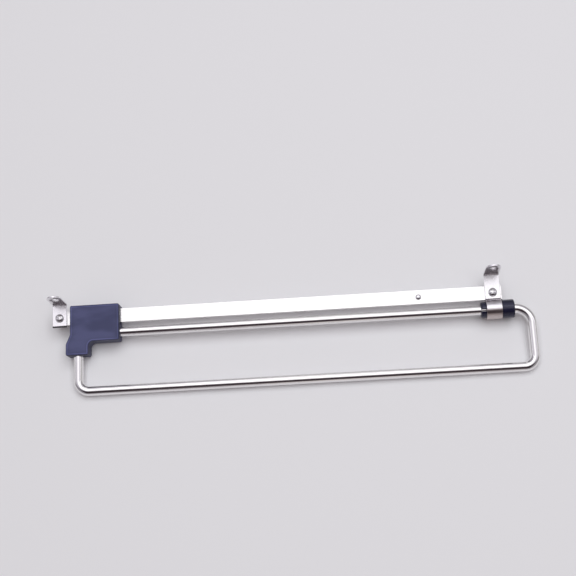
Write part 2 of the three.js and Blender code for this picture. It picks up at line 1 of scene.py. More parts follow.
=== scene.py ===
# A closet valet rod as it lies on a pale board: a flat steel bar on two bolted lugs, and a bent wire bow
# that slides along it in a plastic carriage and a guide bush. Sizes are in millimetres, measured square
# to the bar with its middle plane at y = 0, until hang() brings them into the part's frame in metres.
import math

import bpy
import numpy as np
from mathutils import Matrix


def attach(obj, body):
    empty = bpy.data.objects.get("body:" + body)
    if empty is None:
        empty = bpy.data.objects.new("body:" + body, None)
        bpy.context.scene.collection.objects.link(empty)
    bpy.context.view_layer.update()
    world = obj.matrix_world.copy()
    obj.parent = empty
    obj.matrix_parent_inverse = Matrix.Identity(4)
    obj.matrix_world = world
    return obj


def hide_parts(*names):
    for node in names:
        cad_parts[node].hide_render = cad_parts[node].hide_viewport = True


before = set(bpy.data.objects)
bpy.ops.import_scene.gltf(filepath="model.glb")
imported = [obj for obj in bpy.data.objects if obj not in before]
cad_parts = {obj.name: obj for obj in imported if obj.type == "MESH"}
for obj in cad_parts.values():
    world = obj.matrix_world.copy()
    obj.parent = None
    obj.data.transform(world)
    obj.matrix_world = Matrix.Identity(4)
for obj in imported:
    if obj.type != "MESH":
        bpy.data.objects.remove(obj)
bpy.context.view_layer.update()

# ---- The rail bar: a cold-rolled flat bar with lightly broken edges, bright nickel over fine rolling
# lines. Its two ends are sheared square, and the lugs are bolted to its front face.
BAR_TOP, BAR_BOTTOM = -9.65, -21.65
BAR_MIDDLE = (BAR_TOP + BAR_BOTTOM) / 2
BAR_HALF_THICK = 1.5
BAR_REAR_END, BAR_FRONT_END = -184.6, 186.4
BAR_EDGE, BAR_END_EDGE = 0.35, 0.25
BAR_PLANE_Y = 18.5
FIXING_SPACING, LUG_STEP = 358.0, 3.7  # the front lug is a step taller, so the bar slopes under the shelf
SHELF_SLOPE = LUG_STEP / FIXING_SPACING
FACE_STEP = 0.06  # an extra row this far beyond a rounding keeps the flat face beside it flat


def hang(points):
    """Millimetres square to the bar into metres in the part's frame: with s the slope's angle,
    x' = x cos s + z sin s, y' = y + 18.5 and z' = z cos s - x sin s, all divided by 1000."""
    turn = math.atan(SHELF_SLOPE)
    x, y, z = np.moveaxis(np.asarray(points, float), -1, 0)
    along = x * math.cos(turn) + z * math.sin(turn)
    rise = z * math.cos(turn) - x * math.sin(turn)
    return np.stack([along, y + BAR_PLANE_Y, rise], -1) / 1000


def skin(loops, ring=False):
    """A closed skin over loops[row, column, xyz]. Quad (i, j) joins points j and j + 1 of loop i to the
    same points of loop i + 1. The last loop meets the first where ring is true, and otherwise a flat
    face fills each end. Points in one place count as one, and what has no area left is dropped. The
    faces turn round where the volume, the sum of a . (b x c) / 6 over the triangles, is negative."""
    rows, columns = loops.shape[:2]
    places = loops.reshape(-1, 3)
    _, first, same = np.unique(places.round(4), axis=0, return_index=True, return_inverse=True)
    points = places[np.sort(first)]
    index = np.argsort(np.argsort(first))[same].reshape(rows, columns)
    near = index if ring else index[:-1]
    far = np.roll(index, -1, 0) if ring else index[1:]
    quads = np.stack([near, np.roll(near, -1, 1), np.roll(far, -1, 1), far], -1).reshape(-1, 4)
    caps = [] if ring else [index[0, ::-1], index[-1]]
    fans = [np.stack([np.full(columns - 2, c[0]), c[1:-1], c[2:]], -1) for c in caps]
    corners = np.concatenate([quads[:, [0, 1, 2]], quads[:, [0, 2, 3]], *fans])
    a, b, c = (points[corners[:, k]] - points[0] for k in range(3))
    if np.einsum("ij,ij->i", a, np.cross(b, c)).sum() < 0:
        quads, caps = quads[:, ::-1], [cap[::-1] for cap in caps]
    faces = [list(dict.fromkeys(face)) for face in quads.tolist() + [cap.tolist() for cap in caps]]
    return points, [face for face in faces if len(face) > 2]


def put_together(name, skins, finish, body, stands_for, crease=34):
    """One piece from several closed skins, shaded smooth up to the crease angle in degrees."""
    starts = np.cumsum([0] + [len(points) for points, _ in skins])
    faces = [[v + int(s) for v in face] for (_, part), s in zip(skins, starts) for face in part]
    mesh = bpy.data.meshes.new(name)
    mesh.from_pydata(hang(np.concatenate([points for points, _ in skins])), [], faces)
    mesh.shade_smooth()
    mesh.set_sharp_from_angle(angle=math.radians(crease))
    mesh.materials.append(finish)
    piece = bpy.data.objects.new(name, mesh)
    bpy.context.scene.collection.objects.link(piece)
    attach(piece, body)
    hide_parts(*stands_for)
    return piece


def soft_rectangle(half_wide, half_high, radius, inset=0.0, steps=4):
    """Points round a rectangle with quarter-circle corners, [4 (steps + 3), 2]: corner centre +
    (radius - inset) (cos t, sin t), and one point more on the flat at either end of each quarter."""
    t = np.linspace(0, np.pi / 2, steps + 1)[None] + np.arange(4)[:, None] * np.pi / 2
    centre = np.array([[1, 1], [-1, 1], [-1, -1], [1, -1]]) * [half_wide - radius, half_high - radius]
    arc = centre[:, None] + (radius - inset) * np.stack([np.cos(t), np.sin(t)], -1)
    ahead = np.stack([-np.sin(t), np.cos(t)], -1) * FACE_STEP
    return np.concatenate([arc[:, :1] - ahead[:, :1], arc, arc[:, -1:] + ahead[:, -1:]], 1).reshape(-1, 2)


def rounded_stations(start, end, radius, steps=4):
    """Stations from start to end and how far each loop is drawn in there, so that both ends are round:
    station = start + r (1 - cos t), inset = r (1 - sin t) with t from 0 to a quarter turn, mirrored."""
    t = np.linspace(0, np.pi / 2, steps + 1)
    back, inset = radius * (1 - np.cos(t)), radius * (1 - np.sin(t))
    back, inset = np.append(back, radius + FACE_STEP), np.append(inset, 0.0)
    way = math.copysign(1, end - start)
    return np.concatenate([start + way * back, (end - way * back)[::-1]]), np.append(inset, inset[::-1])


class Socket:
    """One output of a finish's nodes. Arithmetic on it adds Math nodes."""

    def __init__(self, finish, output):
        self.finish, self.output = finish, output

    def math(self, operation, first, second):
        return self.finish.node("ShaderNodeMath", {"operation": operation}, {0: first, 1: second})

    def __add__(self, other):
        return self.math("ADD", self, other)

    def __radd__(self, other):
        return self.math("ADD", other, self)

    def __sub__(self, other):
        return self.math("SUBTRACT", self, other)

    def __rsub__(self, other):
        return self.math("SUBTRACT", other, self)

    def __mul__(self, other):
        return self.math("MULTIPLY", self, other)

    def __rmul__(self, other):
        return self.math("MULTIPLY", other, self)

    def __pow__(self, other):
        return self.math("POWER", self, other)

    def least(self, other):
        return self.math("MINIMUM", self, other)

    def most(self, other):
        return self.math("MAXIMUM", self, other)

    def angle_from(self, other):
        """The angle from the direction of other towards that of self, in radians."""
        return self.math("ARCTAN2", self, other)


class Finish:
    """A node tree under construction: a piece's material, or the world."""

    def __init__(self, owner):
        owner.use_nodes = True
        self.owner, self.tree = owner, owner.node_tree
        self.tree.nodes.clear()

    def node(self, kind, settings=None, inputs=None, output=0):
        """Adds a node of that kind, sets its settings first, a ramp's stops among them, then its inputs
        by name or number, each a value or a Socket. Returns the asked output, or each of a tuple."""
        made = self.tree.nodes.new(kind)
        for name, value in (settings or {}).items():
            if name == "stops":
                stops = made.color_ramp.elements
                while len(stops) < len(value):
                    stops.new(1.0)
                for stop, (position, colour) in zip(stops, value):
                    stop.position, stop.color = position, (*colour, 1.0)
            else:
                setattr(made, name, value)
        for name, value in (inputs or {}).items():
            if isinstance(value, Socket):
                self.tree.links.new(value.output, made.inputs[name])
            else:
                made.inputs[name].default_value = value
        if isinstance(output, tuple):
            return [Socket(self, made.outputs[name]) for name in output]
        return Socket(self, made.outputs[output]) if len(made.outputs) else made

    def place(self, scale, turn=(0.0, 0.0, 0.0), source="Object"):
        """Object or UV coordinates in metres times the scale, so a scale of 1000 counts millimetres."""
        coordinates = self.node("ShaderNodeTexCoord", output=source)
        inputs = {"Vector": coordinates, "Rotation": turn, "Scale": scale}
        return self.node("ShaderNodeMapping", inputs=inputs)

    def noise(self, scale, detail=3.0, roughness=0.5, **where):
        """Noise from 0 to 1, with one wave per unit of the scaled coordinates."""
        inputs = {"Vector": self.place(scale, **where), "Scale": 1.0}
        inputs |= {"Detail": detail, "Roughness": roughness}
        return self.node("ShaderNodeTexNoise", inputs=inputs)

    def between(self, share, low, high, blend="MIX"):
        """The colour a share of the way from low to high, or to low blended with high in another way.
        Both are a colour or a Socket."""
        low, high = (c if isinstance(c, Socket) else (*c, 1.0) for c in (low, high))
        settings = {"data_type": "RGBA", "blend_type": blend}
        return self.node("ShaderNodeMix", settings, {0: share, 6: low, 7: high}, output=2)

    def band(self, value, low, high):
        """0 where value is below low, 1 above high, and a smooth rise between."""
        inputs = {"Value": value, "From Min": low, "From Max": high}
        return self.node("ShaderNodeMapRange", {"interpolation_type": "SMOOTHSTEP"}, inputs)

    def relief(self, height, depth):
        """Bumps of that depth in metres, as a normal."""
        return self.node("ShaderNodeBump", inputs={"Strength": 1.0, "Distance": depth, "Height": height})

    def coat(self, **inputs):
        """Ends the material in one Principled shader with these inputs."""
        named = {name.replace("_", " "): value for name, value in inputs.items()}
        shader = self.node("ShaderNodeBsdfPrincipled", inputs=named)
        self.node("ShaderNodeOutputMaterial", inputs={"Surface": shader})
        return self.owner


def bright_bar():
    """Nickelled cold-rolled steel: fine lines along the bar, duller patches, faint handling marks."""
    bar = Finish(bpy.data.materials.new("rolled_bar"))
    lines = bar.noise((25.0, 2500.0, 2500.0), detail=2.0)
    patches = bar.noise((28.0, 90.0, 90.0), detail=3.0)
    marks = bar.band(bar.noise((260.0, 900.0, 900.0), detail=4.0), 0.66, 0.74)
    return bar.coat(
        Base_Color=bar.between(patches, (0.86, 0.855, 0.845), (0.93, 0.928, 0.925)),
        Metallic=1.0,
        Roughness=0.21 + 0.07 * patches + 0.05 * lines + 0.06 * marks,
        Normal=bar.relief(lines + 0.3 * marks, 0.0000035),
    )


stations, insets = rounded_stations(BAR_REAR_END, BAR_FRONT_END, BAR_END_EDGE)
section = np.stack([soft_rectangle(BAR_HALF_THICK, BAR_TOP - BAR_MIDDLE, BAR_EDGE, i) for i in insets])
bar_loops = np.empty((*section.shape[:2], 3))
bar_loops[..., 0] = stations[:, None]
bar_loops[..., 1] = section[..., 0]
bar_loops[..., 2] = BAR_MIDDLE + section[..., 1]
put_together("flat_bar", [skin(bar_loops)], bright_bar(), "fixed_rail", ["rail_bar"])

# ---- The two lugs: pressed from one strip of steel and nickelled, each with a level flange that is
# drilled and countersunk for a wood screw. The front one goes on down round the guide bush in a ring
# and comes up again behind the bar, so that its bolt clamps both leaves.
STRIP, STRIP_EDGE, STRIP_END_EDGE = 1.5, 0.3, 0.25
STRIP_FACE = -BAR_HALF_THICK - STRIP
LEAF_Y = STRIP_FACE + STRIP / 2
REAR_LEAF_END = BAR_BOTTOM - 1.7
BEND_RADIUS = 1.6
FLANGE_TIP_Y, HOLE_Y = STRIP_FACE - 23.5, STRIP_FACE - 15.5
HOLE_RADIUS, COUNTERSINK_RADIUS, COUNTERSINK_DEPTH = 2.5, 4.3, 1.1
FRONT_X, REAR_X = FIXING_SPACING / 2, -FIXING_SPACING / 2
SPRING_BACK = math.tan(math.radians(2.5))
WIRE_Z = -29.45
RING_RADIUS, THROAT_RADIUS = 7.04, 2.0
SAME_PLACE = 1e-6  # points nearer to each other than this are one


def straight(start, end):
    """Two points and the direction from one to the other, as an angle."""
    start, end = np.array(start, float), np.array(end, float)
    heading = math.atan2(*(end - start)[::-1])
    return np.stack([start, end]), np.full(2, heading)


def bend(centre, radius, start, end, steps):
    """Points centre + radius (cos t, sin t) for t from start to end, heading a quarter turn from t."""
    t = np.linspace(start, end, steps + 1)
    points = np.array(centre) + radius * np.stack([np.cos(t), np.sin(t)], -1)
    return points, t + math.copysign(np.pi / 2, end - start)


def joined(*runs):
    """The runs end to end, with each point that repeats the one before it left out."""
    points = np.concatenate([points for points, _ in runs])
    headings = np.concatenate([headings for _, headings in runs])
    kept = np.append(True, np.linalg.norm(np.diff(points, axis=0), axis=1) > SAME_PLACE)
    return points[kept], headings[kept]


def ribbon(path, centre_x, width):
    """A strip along a path in y and z: at each point of the path, middle + n v + (x, 0, 0) u for (u, v)
    round a rectangle with soft corners, where n is square to the heading. Its last end is rounded."""
    points, headings = path
    run = np.append(0, np.cumsum(np.linalg.norm(np.diff(points, axis=0), axis=1)))
    stations, insets = rounded_stations(run[0], run[-1], STRIP_END_EDGE)
    tail, cut = stations[len(stations) // 2 :], insets[len(insets) // 2 :]
    tail_points = np.stack([np.interp(tail, run, points[:, k]) for k in range(2)], -1)
    before = run < tail[0] - SAME_PLACE
    points = np.concatenate([points[before], tail_points])
    headings = np.concatenate([headings[before], np.full(len(tail), headings[-1])])
    cut = np.concatenate([np.zeros(before.sum()), cut])
    section = np.stack([soft_rectangle(width / 2, STRIP / 2, STRIP_EDGE, i) for i in cut])
    square = np.stack([-np.sin(headings), np.cos(headings)], -1)
    loops = np.empty((*section.shape[:2], 3))
    loops[..., 0] = centre_x + section[..., 0]
    loops[..., 1:] = points[:, None] + square[:, None] * section[..., 1:]
    return loops


def flange(centre_x, width, top, back_y):
    """The drilled tongue, as loops round the fixing hole. For a direction a from the hole the outline is
    at the nearest of the two sides, the straight back and the half-round tip, whose distance solves
    |h + d (cos a, sin a) - c| = w / 2. Each loop keeps one place in the thickness: out over the top,
    round the edge, back under the flange and up the countersink and the hole."""
    half = width / 2
    turn_y, bottom = FLANGE_TIP_Y + half, top - STRIP
    corner, shoulder = math.atan2(back_y - HOLE_Y, half), math.atan2(turn_y - HOLE_Y, half)
    back_side_tip_side = [
        np.linspace(corner, math.pi - corner, 13),
        np.linspace(math.pi - corner, math.pi - shoulder, 13),
        np.linspace(math.pi - shoulder, 2 * math.pi + shoulder, 49)[1:],
        np.linspace(shoulder, corner, 13)[1:] + 2 * math.pi,
    ]
    a = np.concatenate(back_side_tip_side)
    stretch = np.repeat(np.arange(4), [len(angles) for angles in back_side_tip_side])
    on_back, on_tip = stretch == 0, stretch == 2
    way = np.stack([np.cos(a), np.sin(a)], -1)
    to_tip = HOLE_Y - turn_y
    round_tip = -way[:, 1] * to_tip + np.sqrt(np.maximum(half**2 - (way[:, 0] * to_tip) ** 2, 0))
    with np.errstate(divide="ignore"):
        straight_back, straight_side = (back_y - HOLE_Y) / way[:, 1], half / np.abs(way[:, 0])
    distance = np.select([on_back, on_tip], [straight_back, round_tip], straight_side)
    hole = np.array([0.0, HOLE_Y])
    rim = hole + way * distance[:, None]
    sideways = np.stack([np.sign(way[:, 0]), 0 * a], -1)
    out = np.where(on_tip[:, None], (rim - [0, turn_y]) / half, sideways)
    out[on_back] = [0, 1]
    edge = np.where(on_back, 0.0, STRIP_EDGE)[:, None]
    rounding = [
        (rim - out * edge * (1 - math.sin(t)), edge[:, 0] * (1 - math.cos(t)))
        for t in np.linspace(0, np.pi / 2, 5)
    ]
    steps = [(hole + way * HOLE_RADIUS, top), (rim - out * (edge + FACE_STEP), top)]
    steps += [(plan, top - drop) for plan, drop in rounding]
    steps += [(plan, bottom + drop) for plan, drop in rounding[::-1]]
    steps += [(rim - out * (edge + FACE_STEP), bottom)]
    steps += [(hole + way * (COUNTERSINK_RADIUS + FACE_STEP), bottom)]
    steps += [(hole + way * COUNTERSINK_RADIUS, bottom)]
    steps += [(hole + way * HOLE_RADIUS, bottom + COUNTERSINK_DEPTH)]
    loops = np.empty((len(steps), len(a), 3))
    for row, (plan, level) in zip(loops, steps):
        row[:, 0], row[:, 1], row[:, 2] = centre_x + plan[:, 0], plan[:, 1], level
    return loops


def levelled(loops, centre_x, bend_end_z):
    """Raises what lies above the bend's end by (x - centre x) times the shelf's slope, so that the
    flange lies level under a shelf that the bar itself is not quite square to, and lowers it by the
    way back from the tip times the spring-back, as the screw pulls such a flange up flat."""
    above = loops[..., 2] > bend_end_z - SAME_PLACE
    rise = (loops[..., 0] - centre_x) * SHELF_SLOPE - (loops[..., 1] - FLANGE_TIP_Y) * SPRING_BACK
    loops[..., 2] += above * rise
    return loops


def pressed_nickel():
    """Nickel on pressed strip: soft waves, drawn lines and fine scratches, with painted shade: a dark
    band on the rear lug's lower end, below z = -20.2 mm, a darker brown low on the ring, and two dark
    lines where the strip turns from the leaf into the ring, about z = -23 mm and z = -25.5 mm."""
    lug = Finish(bpy.data.materials.new("pressed_nickel"))
    cloud = lug.noise((160.0, 160.0, 160.0), detail=3.0)
    lines = lug.noise((2600.0, 2600.0, 220.0), detail=2.0)
    scratch = lug.band(lug.noise((2400.0, 700.0, 500.0), detail=3.0, turn=(0.4, 0.3, 0.5)), 0.68, 0.74)
    plated = lug.between(cloud, (0.8, 0.785, 0.81), (0.88, 0.865, 0.885))
    millimetres = lug.place((1000.0, 1000.0, 1000.0))
    x, z = lug.node("ShaderNodeSeparateXYZ", inputs={0: millimetres}, output=("X", "Z"))
    # Painted shade: the rear lug's lower end, below z = -20.2 mm, is coloured near black.
    painted_edge_shade = lug.band(x, 0.0, -10.0) * lug.band(z, -20.1, -20.4)
    ring = lug.band(x, 0.0, 10.0) * lug.band(z, -23.5, -26.0)
    # Painted shade and reflection: low on the ring the plating is coloured a darker brown.
    plated_with_painted_shade = lug.between(ring * lug.band(z, -31.0, -33.5), plated, (0.56, 0.5, 0.485))
    # Painted shade: dark lines with a pale one between, across the bend from the leaf into the ring.
    throat = lug.node("ShaderNodeMapRange", inputs={"Value": z, "From Min": -22.5, "From Max": -26.5})
    painted_crease_shade = lug.node("ShaderNodeValToRGB", {"stops": [
        (0.0, (1.0, 1.0, 1.0)), (0.04, (0.07, 0.06, 0.07)), (0.2, (0.1, 0.09, 0.1)),
        (0.34, (0.9, 0.87, 0.89)), (0.52, (1.0, 1.0, 1.0)), (0.68, (0.62, 0.57, 0.6)),
        (0.84, (0.68, 0.63, 0.66)), (0.96, (1.0, 1.0, 1.0)),
    ]}, {0: throat})
    with_painted_crease_shade = lug.between(1.0, plated_with_painted_shade, painted_crease_shade, "MULTIPLY")
    return lug.coat(
        Base_Color=lug.between(painted_edge_shade, with_painted_crease_shade, (0.05, 0.045, 0.05)),
        Metallic=1.0,
        Roughness=0.2 + 0.08 * cloud + 0.04 * lines + 0.08 * scratch + 0.04 * ring,
        Normal=lug.relief(0.4 * lines - 0.5 * scratch, 0.000002),
    )


nickelled = pressed_nickel()
for end, centre_x, width, top in (
    ("rear", REAR_X, 12.0, -LUG_STEP / 2),
    ("front", FRONT_X, 12.5, LUG_STEP / 2),
):
    turn_y, turn_z = LEAF_Y - BEND_RADIUS, top - STRIP / 2 - BEND_RADIUS
    runs = [bend((turn_y, turn_z), BEND_RADIUS, np.pi / 2, 0, 12)]
    if end == "rear":
        runs += [straight((LEAF_Y, turn_z), (LEAF_Y, REAR_LEAF_END))]
    else:
        reach = -LEAF_Y + THROAT_RADIUS
        rise = math.sqrt((RING_RADIUS + THROAT_RADIUS) ** 2 - reach**2)
        throat = math.atan2(rise, reach)
        runs += [
            straight((LEAF_Y, turn_z), (LEAF_Y, WIRE_Z + rise)),
            bend((-reach, WIRE_Z + rise), THROAT_RADIUS, 0, -throat, 10),
            bend((0, WIRE_Z), RING_RADIUS, np.pi - throat, 2 * np.pi + throat, 96),
            bend((reach, WIRE_Z + rise), THROAT_RADIUS, np.pi + throat, np.pi, 10),
            straight((-LEAF_Y, WIRE_Z + rise), (-LEAF_Y, BAR_TOP)),
        ]
    leaf = levelled(ribbon(joined(*runs), centre_x, width), centre_x, turn_z)
    tongue = levelled(flange(centre_x, width, top, turn_y), centre_x, turn_z)
    skins = [skin(leaf), skin(tongue, ring=True)]
    put_together(f"{end}_lug", skins, nickelled, "fixed_rail", [f"{end}_bracket"], crease=40)

# ---- The bolts that hold the lugs on the bar: zinc-plated machine screws with a domed head and a cross
# recess in front, a split lock washer and a hexagon nut behind, and one to two turns of thread past it.
BOLT_RADIUS, BOLT_TAIL = 2.0, 1.0
HEAD_RADIUS, HEAD_HEIGHT, HEAD_LIP, HEAD_EDGE = 3.5, 2.2, 0.55, 0.15
RECESS_WIDE, RECESS_LONG, RECESS_DEEP = 0.9, 3.8, 1.0
RECESS_WALL, RECESS_FLARE = 0.22, 0.4  # the wall's width, and the share of it outside the arm
THREAD_PITCH, THREAD_DEEP, THREAD_OVERLAP = 0.7, 0.22, 0.1
TIP_LONG, TIP_DRAWN_IN = 0.5, 0.45
WASHER_THICK, WASHER_INSIDE, WASHER_OUTSIDE, WASHER_EDGE = 1.0, 2.15, 3.6, 0.12
WASHER_HALF_GAP = 0.13  # in radians, from the middle of the split
NUT_FLATS, NUT_HEIGHT, NUT_MOUTH, NUT_MOUTH_DEEP = 7.0, 2.8, 2.3, 0.25


def smooth(value):
    """3 v^2 - 2 v^3 of the value held between 0 and 1."""
    held = np.clip(value, 0, 1)
    return held * held * (3 - 2 * held)


def turned(outline, sides=64):
    """A profile of (radius, y) points turned about the y axis: (r cos a, y, r sin a)."""
    a = np.linspace(0, 2 * np.pi, sides, endpoint=False)[None]
    r, y = outline[:, :1], outline[:, 1:]
    return np.stack([r * np.cos(a), y + 0 * a, r * np.sin(a)], -1)


def screw_head(turn):
    """A domed head with a cross cut in, on rings of radius r and angle a, as [ring, angle, (x, y, z)]
    about the screw's axis. Depth y = -(lip + (height - lip) sqrt(1 - (r / R)^2)) + recess, where the
    recess is deep times a smooth step of how far the point lies inside either arm of the cross."""
    a = np.linspace(0, 2 * np.pi, 120, endpoint=False)[None]
    q = np.linspace(0, np.pi / 2, 60)[1:-1]
    dome = np.stack([HEAD_RADIUS * np.cos(q), -HEAD_LIP - (HEAD_HEIGHT - HEAD_LIP) * np.sin(q)], -1)
    side = np.array([
        (BOLT_RADIUS, 0),
        (HEAD_RADIUS - HEAD_EDGE, 0),
        (HEAD_RADIUS - 0.02, -0.03),
        (HEAD_RADIUS, -HEAD_EDGE),
        (HEAD_RADIUS, -HEAD_LIP),
    ])
    profile = np.concatenate([side, dome])
    r, y = profile[:, :1], profile[:, 1:]
    u, v = np.abs(r * np.cos(a - turn)), np.abs(r * np.sin(a - turn))
    arm = np.maximum(
        np.minimum(RECESS_LONG / 2 - u, RECESS_WIDE / 2 - v),
        np.minimum(RECESS_LONG / 2 - v, RECESS_WIDE / 2 - u),
    )
    on_dome = (np.arange(len(r)) >= len(side))[:, None]
    y = y + RECESS_DEEP * smooth(arm / RECESS_WALL + RECESS_FLARE) * on_dome
    return np.stack([r * np.cos(a), y, r * np.sin(a)], -1)


def threaded(start_y, end_y):
    """A threaded tail: radius = R - deep |2 frac(y / pitch - a / 2 pi) - 1|, narrowed at the tip."""
    a = np.linspace(0, 2 * np.pi, 48, endpoint=False)[None]
    y = np.linspace(start_y, end_y, 40)[:, None]
    ridge = np.abs(2 * np.mod(y / THREAD_PITCH - a / (2 * np.pi), 1) - 1)
    tip = TIP_DRAWN_IN * smooth((y - end_y + TIP_LONG) / TIP_LONG)
    r = BOLT_RADIUS - THREAD_DEEP * ridge - tip
    return np.stack([r * np.cos(a), y + 0 * a, r * np.sin(a)], -1)


def hexagon_nut(seat_y):
    """A nut as loops from its outside, over the chamfered top, down the bore and back under it. Outside
    radius = flats / 2 / cos(angle from the middle of the flat), cut to a cone at both faces."""
    a = np.linspace(0, 2 * np.pi, 144, endpoint=False)[None]
    hexagon = NUT_FLATS / 2 / np.cos(np.mod(a + np.pi / 6, np.pi / 3) - np.pi / 6)
    rise, cone = np.array([0, 0.1, 0.25, 0.5]), np.array([3.45, 3.62, 3.88, 4.2])
    outside = np.minimum(hexagon, np.append(cone, cone[::-1])[:, None])
    bore = np.array([NUT_MOUTH, BOLT_RADIUS, BOLT_RADIUS, NUT_MOUTH])[:, None] + 0 * a
    bore_level = [NUT_HEIGHT, NUT_HEIGHT - NUT_MOUTH_DEEP, NUT_MOUTH_DEEP, 0.0]
    r = np.concatenate([outside, bore])
    y = seat_y + np.concatenate([rise, NUT_HEIGHT - rise[::-1], bore_level])[:, None] + 0 * a
    return np.stack([r * np.cos(a), y, r * np.sin(a)], -1)


def swept_section(section, start, end, steps):
    """A closed outline of (radius, level) points carried round an axis from one angle to another, as
    [angle, outline point, (r cos a, r sin a, level)]."""
    a = np.linspace(start, end, steps + 1)[:, None]
    radius, level = section[None, :, 0], section[None, :, 1]
    return np.stack([radius * np.cos(a), radius * np.sin(a), level + 0 * a], -1)


def zinc_plate():
    """Bright zinc plate on small fasteners: greyer than nickel, slightly mottled and rubbed."""
    plate = Finish(bpy.data.materials.new("zinc_plate"))
    mottle = plate.noise((900.0, 900.0, 900.0), detail=4.0)
    rub = plate.band(plate.noise((2500.0, 2500.0, 2500.0), detail=3.0), 0.5, 0.7)
    return plate.coat(
        Base_Color=plate.between(mottle, (0.7, 0.69, 0.705), (0.86, 0.85, 0.86)),
        Metallic=1.0,
        Roughness=0.13 + 0.09 * mottle + 0.06 * rub,
        Normal=plate.relief(mottle + 0.5 * rub, 0.000004),
    )


zinc = zinc_plate()
for end, centre_x, seat_y, cross_turn in (
    ("rear", REAR_X, BAR_HALF_THICK, 0.0),
    ("front", FRONT_X, -STRIP_FACE, 0.75),
):
    axis = np.array([centre_x, 0.0, BAR_MIDDLE])
    nut_y = seat_y + WASHER_THICK
    head = screw_head(cross_turn) + axis + [0, STRIP_FACE, 0]
    shank_ends = np.array([(BOLT_RADIUS, STRIP_FACE), (BOLT_RADIUS, nut_y + THREAD_OVERLAP)])
    shank = turned(shank_ends, 48) + axis
    tail = threaded(nut_y, nut_y + NUT_HEIGHT + BOLT_TAIL) + axis
    nut = hexagon_nut(nut_y) + axis
    flat = soft_rectangle((WASHER_OUTSIDE - WASHER_INSIDE) / 2, WASHER_THICK / 2, WASHER_EDGE)
    flat = flat + [(WASHER_OUTSIDE + WASHER_INSIDE) / 2, seat_y + WASHER_THICK / 2]
    split = swept_section(flat, WASHER_HALF_GAP, 2 * np.pi - WASHER_HALF_GAP, 64)[..., [0, 2, 1]] + axis
    for name, skins, stood_for, crease in (
        ("bolt", [skin(head), skin(shank), skin(tail)], "bracket_screw", 34),
        ("hex_nut", [skin(nut, ring=True)], "nut", 24),
        ("split_washer", [skin(split)], "lock_washer", 34),
    ):
        stands_for = [f"{end}_{stood_for}"]
        put_together(f"{end}_{name}", skins, zinc, "fixed_rail", stands_for, crease)

# ---- The stop rivet: a small round-headed rivet, nickelled as the lugs are and closed over behind the
# bar. The carriage runs up against its head at the end of its travel.
RIVET_X = FRONT_X - 60.3
RIVET_HEAD, RIVET_HEIGHT, RIVET_SHANK = 2.3, 1.2, 1.5
RIVET_TAIL, RIVET_CLOSED = 2.1, 0.6
RIVET_ROLL = [(1.8, 0.0), (0.5, 0.0), (0.15, 0.15), (0.0, 0.4)]  # in from the tail's edge, and down

q = np.linspace(0, np.pi / 2, 20)[:-1]
dome = np.stack([RIVET_HEAD * np.cos(q), -BAR_HALF_THICK - RIVET_HEIGHT * np.sin(q)], -1)
closed_over = [(RIVET_TAIL - inset, BAR_HALF_THICK + RIVET_CLOSED - down) for inset, down in RIVET_ROLL]
shank = [(RIVET_TAIL, BAR_HALF_THICK), (RIVET_SHANK, BAR_HALF_THICK), (RIVET_SHANK, -BAR_HALF_THICK)]
rivet = turned(np.concatenate([closed_over, shank, dome])) + [RIVET_X, 0, BAR_MIDDLE]
put_together("round_rivet", [skin(rivet)], nickelled, "fixed_rail", ["stop_rivet"])

# ---- The guide bush: black acetal, smooth from the mould. Its head stands in front of the ring, and two
# sprung lips, split by a slanting slot, snap out behind it and hold it in.
BUSH_BORE, BUSH_SEAT, BUSH_EDGE, BUSH_MOUTH = 4.12, 6.17, 0.3, 0.5
BUSH_HEAD, BUSH_HEAD_ROUND = 7.6, 1.1
BUSH_LIP, BUSH_LIP_ROUND = 6.6, 1.4
BUSH_REAR, HEAD_REAR, BUSH_FRONT = 168.25, 185.37, 195.25
LIP_LONG, SLOT_LONG, SLOT_WIDE, SLOT_TILT = 4.38, 9.0, 1.9, math.radians(12)
LIP_OVERLAP = 0.05  # the lips' skins run this far into the head's
BUSH_SIDES = 96


def quarter(centre, radius, start, end, steps=8):
    """Points centre + radius (cos t, sin t) from one angle to another."""
    return bend(centre, radius, start, end, steps)[0]


def moulded_black():
    """Blue-black acetal with a soft shine: fine mould texture and faint flow marks."""
    acetal = Finish(bpy.data.materials.new("moulded_black"))
    grain = acetal.noise((4200.0, 4200.0, 4200.0), detail=2.0)
    flow = acetal.noise((120.0, 420.0, 420.0), detail=3.0)
    return acetal.coat(
        Base_Color=acetal.between(flow, (0.007, 0.007, 0.018), (0.012, 0.012, 0.034)),
        Roughness=0.13 + 0.1 * flow + 0.05 * grain,
        Specular_IOR_Level=0.55,
        Specular_Tint=(0.85, 0.85, 1.0, 1.0),
        Normal=acetal.relief(grain + 0.6 * flow, 0.000008),
    )


head_profile = np.concatenate([
    [(BUSH_BORE, BUSH_REAR + SLOT_LONG), (BUSH_SEAT, BUSH_REAR + SLOT_LONG)],
    [(BUSH_SEAT, HEAD_REAR), (BUSH_HEAD - BUSH_EDGE, HEAD_REAR)],
    quarter((BUSH_HEAD - BUSH_EDGE, HEAD_REAR + BUSH_EDGE), BUSH_EDGE, -np.pi / 2, 0, 4),
    [(BUSH_HEAD, HEAD_REAR + BUSH_EDGE + FACE_STEP)],
    [(BUSH_HEAD, BUSH_FRONT - BUSH_HEAD_ROUND - FACE_STEP)],
    quarter((BUSH_HEAD - BUSH_HEAD_ROUND, BUSH_FRONT - BUSH_HEAD_ROUND), BUSH_HEAD_ROUND, 0, np.pi / 2),
    [(BUSH_BORE + BUSH_MOUTH + FACE_STEP, BUSH_FRONT)],
    quarter((BUSH_BORE + BUSH_MOUTH, BUSH_FRONT - BUSH_MOUTH), BUSH_MOUTH, np.pi / 2, np.pi, 4),
])
lip_end = BUSH_REAR + SLOT_LONG + LIP_OVERLAP
